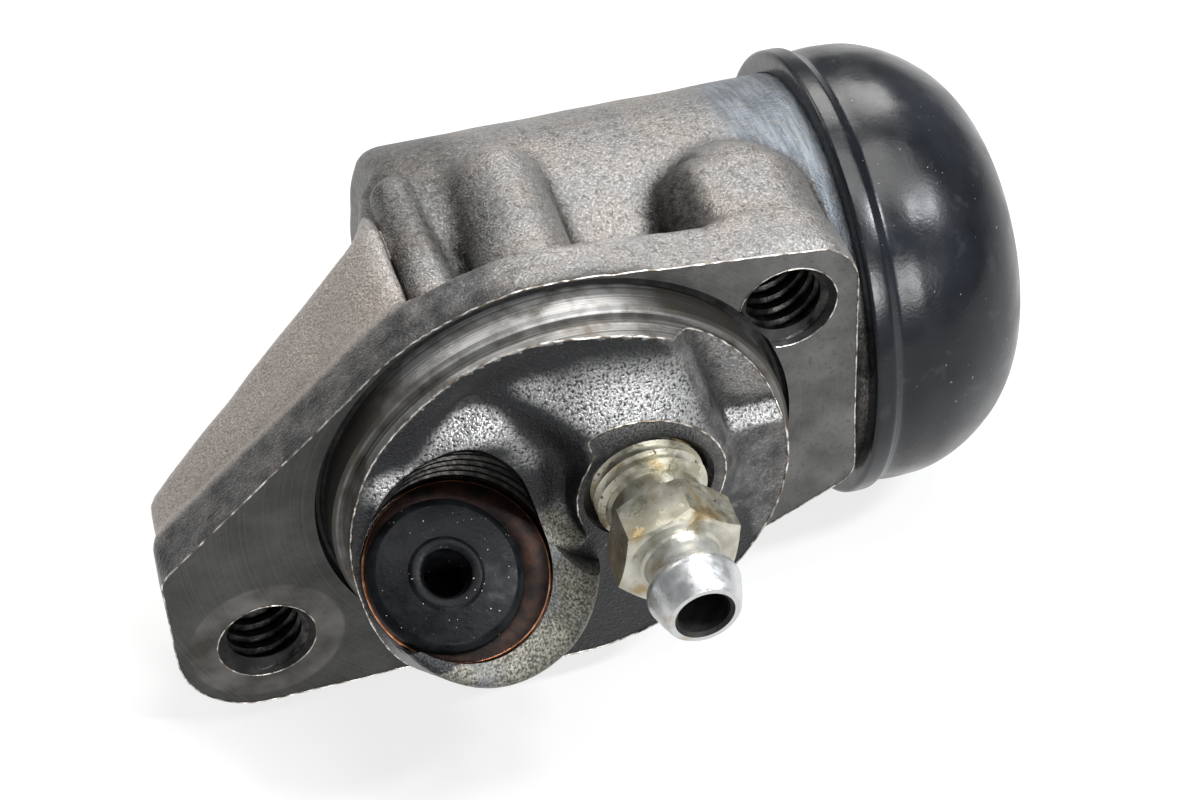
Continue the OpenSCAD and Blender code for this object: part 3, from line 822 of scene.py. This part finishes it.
finishes = housing.data.materials
for extra in (bright_land, soot_and_shade):
    finishes.append(extra)
slot_of = {material.name: index for index, material in enumerate(finishes)}
for polygon in housing.data.polygons:
    x, y, z = polygon.center / MM
    radius = math.hypot(x, z)
    name = finishes[polygon.material_index].name
    if name == "turned_iron" and y > 0.03 and SPIGOT_R - 0.25 < radius < GROOVE_R + 0.25:
        polygon.material_index = slot_of["soot_and_shade"]
    elif name == "turned_iron" and y < -0.05 and LUMP_R - 0.4 < radius < SPIGOT_R + 0.25:
        polygon.material_index = slot_of["bright_land"]

at_points = vectors_of(housing.data.vertices, "co") / MM
px, py, pz = at_points.T
normal_x, normal_y, normal_z = vectors_of(housing.data.vertex_normals, "vector").T
from_port_face = (at_points - PORT_FACE_POINT) @ PORT_FACE_NORMAL
port_face = smooth_step(np.abs(from_port_face), 0.9, 0.3) * (py < -5) * ((px > -12) | (pz < -3.2))
boss_face = smooth_step(np.abs(-py - BLEED_FACE_H), 0.5, 0.1)
flats = smooth_step(px + 0.35 * (pz - 4), 10.0, 14.0)
oil_and_shade_share = smooth_step(-py, 2.75, 3.3) * (1 - port_face) * (1 - 0.25 * boss_face) * (1 - 0.4 * flats)
# Painted shade: cast surfaces within the flange's thickness, left of the middle, are darkened through
# the oil mask.
painted_shade_flange_side = smooth_step(py, 5.2, 4.2) * smooth_step(px, 2, -8) * (py > -0.5)
oil_and_shade_share = np.maximum(oil_and_shade_share, 0.66 * painted_shade_flange_side)
front_gap = smooth_step(pz, 10, 5) * smooth_step(py, 13, 7)
on_barrel = np.hypot(py - BORE_Y, pz - BORE_Z) < BARREL_R + 0.2
beside_neck = smooth_step(px, 19.5, 22.5) * (1 - front_gap) * on_barrel
# Painted highlight: faces on the lump turned up towards the lamps are masked for a bright colour.
painted_highlight = smooth_step(0.8 * normal_z - 0.6 * normal_y, 0.7, 0.98) * (py < -2.5)
painted_highlight = painted_highlight * smooth_step(pz, 0, 3) * (1 - 0.3 * smooth_step(px, -4, -1))
# Painted shade: concave places, the barrel's top towards its closed end, the bolt boss's left flank and
# the barrel under the boot are masked to be darkened where shade falls.
hollowness = spread(spread(casting.astype(float), 3), 3)
crowding = sample(hollowness, at_points)
barrel_end = smooth_step(px, 2, -4) * smooth_step(px, -11.5, -9.5) * smooth_step(py, 9, 13)
boss_flank = smooth_step(-normal_x, 0.1, 0.55) * (px > 9) * (px < 17) * (py > 4) * (pz > 7)
under_boot = smooth_step(px, 23, 25) * front_gap * (py > 1.5)
in_hollows = smooth_step(-crowding, 0.0, 0.5)
painted_shade_share = np.maximum.reduce((in_hollows, 0.6 * barrel_end, boss_flank, under_boot))
wear_share = smooth_step(crowding, 0.2, 0.75)
web_dust = smooth_step(px, -10.5, -13) * smooth_step(py, 4.8, 5.8)
for mask_name, values in (
    ("oil", oil_and_shade_share), ("gold", port_face), ("rubbed", beside_neck), ("painted_highlight", painted_highlight),
    ("painted_shade", painted_shade_share), ("edge", wear_share), ("dust", web_dust),
):
    layer = housing.data.attributes.new(mask_name, "FLOAT", "POINT")
    layer.data.foreach_set("value", np.ascontiguousarray(values, dtype=np.float32))

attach(housing, "cylinder")
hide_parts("housing")


# Torn edges: the tools leave a fine bright burr where they run out of the iron, round the flange's
# face, on the lump's rim and round the bleeder's boss. A Geometry Nodes tree turns those edges into
# ragged threads of metal.
burr_tree, torn_given = new_tree("torn_edge", (
    ("Geometry", "Geometry"), ("Thickness", "Float"), ("Jitter", "Float"), ("Finish", "Material"),
))
strand = add_node(burr_tree, "GeometryNodeMeshToCurve", {"Mesh": torn_given["Geometry"]})
even = add_node(burr_tree, "GeometryNodeResampleCurve", {
    "Curve": strand.outputs["Curve"], "Length": 0.22 * MM,
}, mode="LENGTH")
ragged = add_node(burr_tree, "ShaderNodeTexNoise", {"Scale": 1500})
centred = add_node(burr_tree, "ShaderNodeVectorMath", {
    0: ragged.outputs["Color"], 1: (0.5, 0.5, 0.5),
}, operation="SUBTRACT")
shaken = add_node(burr_tree, "ShaderNodeVectorMath", {
    0: centred.outputs[0], "Scale": torn_given["Jitter"],
}, operation="SCALE")
moved = add_node(burr_tree, "GeometryNodeSetPosition", {
    "Geometry": even.outputs["Curve"], "Offset": shaken.outputs[0],
})
clumps = add_node(burr_tree, "ShaderNodeTexNoise", {"Scale": 260, "Detail": 4})
swell = add_node(burr_tree, "ShaderNodeMapRange", {
    "Value": clumps.outputs["Fac"], "From Min": 0.4, "From Max": 0.7, "To Min": 0.6, "To Max": 1.3,
})
thick = add_node(burr_tree, "GeometryNodeSetCurveRadius", {
    "Curve": moved.outputs["Geometry"], "Radius": swell.outputs["Result"],
})
wire = add_node(burr_tree, "GeometryNodeCurvePrimitiveCircle", {
    "Resolution": 6, "Radius": torn_given["Thickness"],
})
sweep_and_coat(burr_tree, thick.outputs["Curve"], wire.outputs["Curve"], torn_given["Finish"])

torn = Finish("torn_iron", 0.36, 0.9)
torn.put("Base Color", torn.patches(0.9, 4, 0.4, 0.62, (0.16, 0.13, 0.1), (0.78, 0.76, 0.72)))
torn.relief(torn.noise(0.2, 2), 0.02 * MM)


def torn_edge(name, thickness, jitter, belongs):
    shape = bmesh.new()
    shape.from_mesh(housing.data)
    shape.verts.ensure_lookup_table()
    shared = [edge for edge in shape.edges if len(edge.link_faces) == 2]
    chosen = [edge for edge in shared if belongs(edge, (edge.verts[0].co + edge.verts[1].co) / 2 / MM)]
    kept = sorted({vertex.index for edge in chosen for vertex in edge.verts})
    number = {index: place for place, index in enumerate(kept)}
    points = [tuple(shape.verts[index].co) for index in kept]
    strands = [tuple(number[vertex.index] for vertex in edge.verts) for edge in chosen]
    shape.free()
    values = {"Thickness": thickness * MM, "Jitter": jitter * MM, "Finish": torn.material}
    burr = grow(name, burr_tree, values, points, strands)
    outward(burr)
    crisp(burr, 60)
    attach(burr, "cylinder")


def run_out(edge):
    return edge.link_faces[0].material_index != edge.link_faces[1].material_index


def on_flange_face(edge, at):
    return run_out(edge) and abs(at.y) < 0.02 and math.hypot(at.x, at.z) > GROOVE_R + 0.15


def on_lump_rim(edge, at):
    return run_out(edge) and at.y < -2.8 and math.hypot(at.x, at.z) > LUMP_R - 0.2


def on_boss_rim(edge, at):
    corner = abs(at.y + BLEED_FACE_H) < 0.03 and edge.calc_face_angle(0) > 0.3
    return corner and math.hypot(at.x - BLEED_X, at.z - BLEED_Z) > BLEED_SINK_R + 0.2 and at.z > 1


torn_edge("flange_burr", 0.07, 0.06, on_flange_face)
torn_edge("lump_burr", 0.09, 0.18, on_lump_rim)
torn_edge("boss_burr", 0.08, 0.14, on_boss_rim)


# Bleed screw: turned from hexagon bar and plated pale yellow. A cone closes the passage, the
# hexagon takes the key, and the round nipple holds a hose. It turns in its boss.
def arc(middle_r, middle_h, radius, start, end, count):
    angles = [math.radians(start + (end - start) * i / count) for i in range(count + 1)]
    return [(middle_r + radius * math.cos(a), middle_h + radius * math.sin(a)) for a in angles]


plating = Finish("yellow_zinc", 0.34, 0.8)
cream = plating.patches(1.8, 4, 0.38, 0.66, (0.31, 0.295, 0.22), (0.53, 0.515, 0.44))
on_nipple = plating.level(plating.axis("Y"), -16.2 * MM, -17.4 * MM)
cream = plating.mix(on_nipple, cream, (0.5, 0.51, 0.51))
stained = plating.level(plating.noise(2.4, 6), 0.55, 0.68, 0.0, 0.75)
cream = plating.mix(stained, cream, (0.3, 0.2, 0.07))
dirt_specks = plating.level(plating.noise(0.5, 5), 0.6, 0.7)
dirt_areas = plating.level(plating.noise(3, 3), 0.5, 0.62)
off_nipple = plating.level(plating.axis("Y"), -16.4 * MM, -15.6 * MM, 0.15, 1.0)
dirt = plating.calc("MULTIPLY", plating.calc("MULTIPLY", dirt_specks, dirt_areas), off_nipple)
cream = plating.mix(dirt, cream, (0.05, 0.04, 0.03))
plating.put("Base Color", cream)
plating.put("Roughness", plating.level(plating.noise(0.9, 4), 0.35, 0.65, 0.24, 0.46))
plating.relief(plating.noise(0.35), 0.02 * MM)
zinc = plating.material

SCREW_R = 4.2
SCREW_PITCH = 1.06
SHANK_NECK_R = 3.9
HEX_KEY = 9.5
HEX_START = 12
HEX_END = 16.4
TIP_H = 22.4
shank = [
    (0, -5.35), (PASSAGE_R, -5.35), (SHANK_NECK_R, -2.6), (SCREW_R, -2.2), (SCREW_R, 9.6),
    (SHANK_NECK_R, 9.9), (SHANK_NECK_R, HEX_START + 0.2), (0, HEX_START + 0.2),
]
bleed_screw = turned("bleed_screw", shank, bleed_axis, 96, zinc)
key_turn = Matrix.Rotation(math.radians(22), 4, "Z")
corner_r = HEX_KEY / 2 / math.cos(math.radians(30))
bar = [(0, HEX_START), (corner_r, HEX_START), (corner_r, HEX_END), (0, HEX_END)]
hexagon = turned("hexagon", bar, bleed_axis @ key_turn, 6, zinc)
chamfers = [
    (0, HEX_START), (4.5, HEX_START), (5.55, HEX_START + 0.6), (5.55, HEX_END - 0.6), (4.5, HEX_END),
    (0, HEX_END),
]
combine(hexagon, turned("chamfers", chamfers, bleed_axis, 96, zinc), "INTERSECT")
combine(bleed_screw, hexagon, "UNION")
nipple = [
    (0, HEX_END - 0.2), (3.7, HEX_END - 0.2), (3.2, 16.6), (3.05, 17.1), (3.1, 17.9),
    *arc(2.5, 19.6, 1.4, -50, 12, 8), (3.45, 21.3), (3.1, TIP_H - 0.2), (2.9, TIP_H), (0, TIP_H),
]
combine(bleed_screw, turned("nipple", nipple, bleed_axis, 96, zinc), "UNION")
# Painted shade: the mouth's bore takes the near-black soot finish.
mouth = [
    (0, 0), (1.3, 0), (1.3, 18.4), (2.2, 18.6), (2.2, TIP_H - 0.3), (2.5, TIP_H), (2.5, 23), (0, 23),
]
cut_away(bleed_screw, turned("mouth", mouth, bleed_axis, 64, soot_and_shade))
crisp(bleed_screw, 28)
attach(bleed_screw, "bleeder")
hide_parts("bleeder_screw")

thread_start = bleed_axis @ Matrix.Translation((0, 0, -2 * MM))
bleed_thread = wind_thread("bleed_thread", SCREW_R, SCREW_PITCH, 10.9, zinc, thread_start)
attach(bleed_thread, "bleeder")


# Inlet port: a copper ring lies on the port's seat, dull on its faces and rubbed bright on its edges,
# and a moulded black plug is pushed through it to keep dirt out until a pipe is fitted.
dull_copper = mottled(
    "dull_copper", 0.5, 0.8,
    (1.4, 5, 0.38, 0.66, (0.005, 0.003, 0.0025), (0.024, 0.0105, 0.0065)), 0.3, 0.02,
)
rubbed_copper = mottled(
    "rubbed_copper", 0.28, 0.95,
    (0.8, 4, 0.4, 0.6, (0.45, 0.17, 0.08), (0.9, 0.42, 0.22)), 0.25, 0.02,
)
RING_IN = 5.3
RING_OUT = 7.8
RING_T = 1.2
RING_EDGE = 0.15
ring = [
    (RING_IN, RING_EDGE), (RING_IN + RING_EDGE, 0), (RING_OUT - RING_EDGE, 0), (RING_OUT, RING_EDGE),
    (RING_OUT, RING_T - RING_EDGE), (RING_OUT - RING_EDGE, RING_T), (RING_IN + RING_EDGE, RING_T),
    (RING_IN, RING_T - RING_EDGE),
]
copper_ring = turned("copper_ring", ring, port_axis, 128, dull_copper)
copper_ring.data.materials.append(rubbed_copper)
for polygon in copper_ring.data.polygons:
    slope = polygon.normal.dot(Vector(PORT_AXIS))
    polygon.material_index = 1 if 0.2 < slope < 0.95 else 0
crisp(copper_ring, 50)
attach(copper_ring, "cylinder")
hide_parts("inlet_gasket")

moulding = Finish("plug_black", 0.45, 0.0)
dusty = moulding.patches(2.2, 5, 0.4, 0.7, (0.003, 0.0032, 0.004), (0.009, 0.0096, 0.011))
specks = moulding.level(moulding.noise(0.24, 1), 0.765, 0.8)
moulding.put("Base Color", moulding.mix(specks, dusty, (0.45, 0.44, 0.42)))
moulding.put("Roughness", moulding.level(moulding.noise(1.1, 4), 0.35, 0.65, 0.3, 0.46))
moulding.put("Specular IOR Level", 0.07)
moulding.relief(moulding.noise(0.4), 0.025 * MM)
PLUG_HOLE_R = 1.8
PLUG_STEM_R = 3.48
plug_profile = [
    (PLUG_HOLE_R, -4), (PLUG_STEM_R, -4), (PLUG_STEM_R, RING_T), (6.45, RING_T), (6.5, 1.3), (6.5, 1.9),
    (6.4, 2.15), (5.9, 2.5), (5.75, 2.55), (3.2, 2.42), (3.1, 2.45), (2.95, 2.58), (2.75, 2.6),
    (2.3, 2.6), (2.12, 2.52), (2.02, 2.3), (1.95, 2.0), (PLUG_HOLE_R, 1.8),
]
plug_shift = (-1.163, -0.342, -0.094)
plug_axis = frame_at(PORT_SEAT + plug_shift, PORT_AXIS)
transit_plug = turned("transit_plug_moulding", plug_profile, plug_axis, 128, moulding.material)
crisp(transit_plug, 40)
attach(transit_plug, "cylinder")
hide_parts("transit_plug")


# Dust boot: moulded rubber that grips the cylinder's neck with a bead and closes the bore's end.
# A rod reaches the piston through the hole in its end.
def smooth_line(points, steps):
    line = []
    ends = [points[0], *points, points[-1]]
    for i in range(1, len(ends) - 2):
        a, b, c, d = (np.array(q, float) for q in ends[i - 1:i + 3])
        for k in range(steps):
            t = k / steps
            bend = (2 * a - 5 * b + 4 * c - d) * t * t + (3 * b - a - 3 * c + d) * t ** 3
            line.append(tuple(0.5 * (2 * b + (c - a) * t + bend)))
    return line + [tuple(points[-1])]


rubber = Finish("boot_rubber", 0.42, 0.0)
bloom = rubber.patches(7, 5, 0.42, 0.7, (0.004, 0.0048, 0.0065), (0.011, 0.0128, 0.0165))
smears = rubber.level(rubber.noise(2.6, 6), 0.6, 0.74, 0.0, 0.35)
bloom = rubber.mix(smears, bloom, (0.055, 0.06, 0.068))
lint = rubber.level(rubber.noise(0.3, 1), 0.775, 0.8, 0.0, 0.7)
rubber.put("Base Color", rubber.mix(lint, bloom, (0.3, 0.3, 0.3)))
rubber.put("Roughness", rubber.level(rubber.noise(4, 5), 0.35, 0.65, 0.2, 0.33))
rubber.put("Specular IOR Level", 0.3)
rubber.relief(rubber.noise(5), 0.06 * MM, rubber.relief(rubber.noise(0.3), 0.012 * MM))
boot_outside = smooth_line([
    (18.4, 28.4), (19.8, 28.4), (20.2, 28.6), (20.28, 29.0), (20.28, 29.9), (20.2, 30.25), (19.95, 30.6),
    (19.72, 31.0), (19.72, 31.6), (19.8, 32.6), (19.8, 33.8), (19.6, 36), (18.9, 38.2), (17.65, 40.5),
    (15.8, 42.7), (13.4, 44.4), (10.8, 45.4), (8.4, 45.82), (6.2, 45.86), (5.6, 45.6), (5.5, 45.0),
], 5)
boot_inside = smooth_line([
    (5.5, 45.0), (5.6, 44.4), (6.2, 44.1), (8, 44.05), (10.2, 43.7), (12.6, 42.8), (14.8, 41.2),
    (16.4, 39.0), (17.3, 36.6), (17.6, 34.6), (17.5, 32.4), (17.4, 31.1),
], 5)
boot_grip = [(16.9, 31.05), (16.85, 28.95), (18.35, 28.95)]
boot_profile = boot_outside + boot_inside[1:] + boot_grip
dust_boot = turned("dust_boot_moulding", boot_profile, bore_axis, 128, rubber.material)
crisp(dust_boot, 40)
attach(dust_boot, "cylinder")
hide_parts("dust_boot")


# Working parts in the bore: a turned alloy piston, its rubber cup with a pressed spreader, and the
# spring that keeps them on the rod. The spring stretches between the bore's floor and the piston.
alloy = Finish("turned_alloy", 0.3, 1.0)
tool_lines = alloy.streaks(alloy.axis("X"), 0.2)
alloy_tone = alloy.mix(alloy.level(tool_lines, 0.4, 0.6), (0.46, 0.46, 0.46), (0.64, 0.64, 0.63))
alloy.put("Base Color", alloy_tone)
alloy.relief(tool_lines, 0.015 * MM)
seal_rubber = mottled(
    "seal_rubber", 0.5, 0.0,
    (2, 4, 0.4, 0.7, (0.009, 0.009, 0.009), (0.022, 0.022, 0.022)), 0.4, 0.02,
)
pressed_brass = mottled(
    "pressed_brass", 0.34, 0.9,
    (1.5, 4, 0.4, 0.65, (0.42, 0.3, 0.12), (0.62, 0.47, 0.21)), 0.5, 0.015,
)
for node_name, material in (
    ("piston", alloy.material), ("piston_cup", seal_rubber), ("cup_expander", pressed_brass),
):
    node_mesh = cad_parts[node_name].data
    node_mesh.materials.clear()
    node_mesh.materials.append(material)

drawn_wire = mottled(
    "drawn_wire", 0.32, 0.95,
    (1.2, 4, 0.4, 0.65, (0.2, 0.2, 0.205), (0.42, 0.42, 0.43)), 0.4, 0.015,
)
SPRING_START = -2.8
SPRING_END = 7.7
SPRING_TURNS = 5.0
COIL_R = 6.5
WIRE_R = 0.6
spring = grow("return_spring_coil", helix_tree, {
    "Radius": COIL_R * MM, "Pitch": (SPRING_END - SPRING_START) / SPRING_TURNS * MM,
    "Turns": SPRING_TURNS, "Tooth": WIRE_R * MM, "Sides": 16, "Facing": 0.0, "Finish": drawn_wire,
})
outward(spring)
spring.data.transform(bore_axis @ Matrix.Translation((0, 0, SPRING_START * MM)))
crisp(spring, 60)
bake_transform(spring)
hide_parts("return_spring")
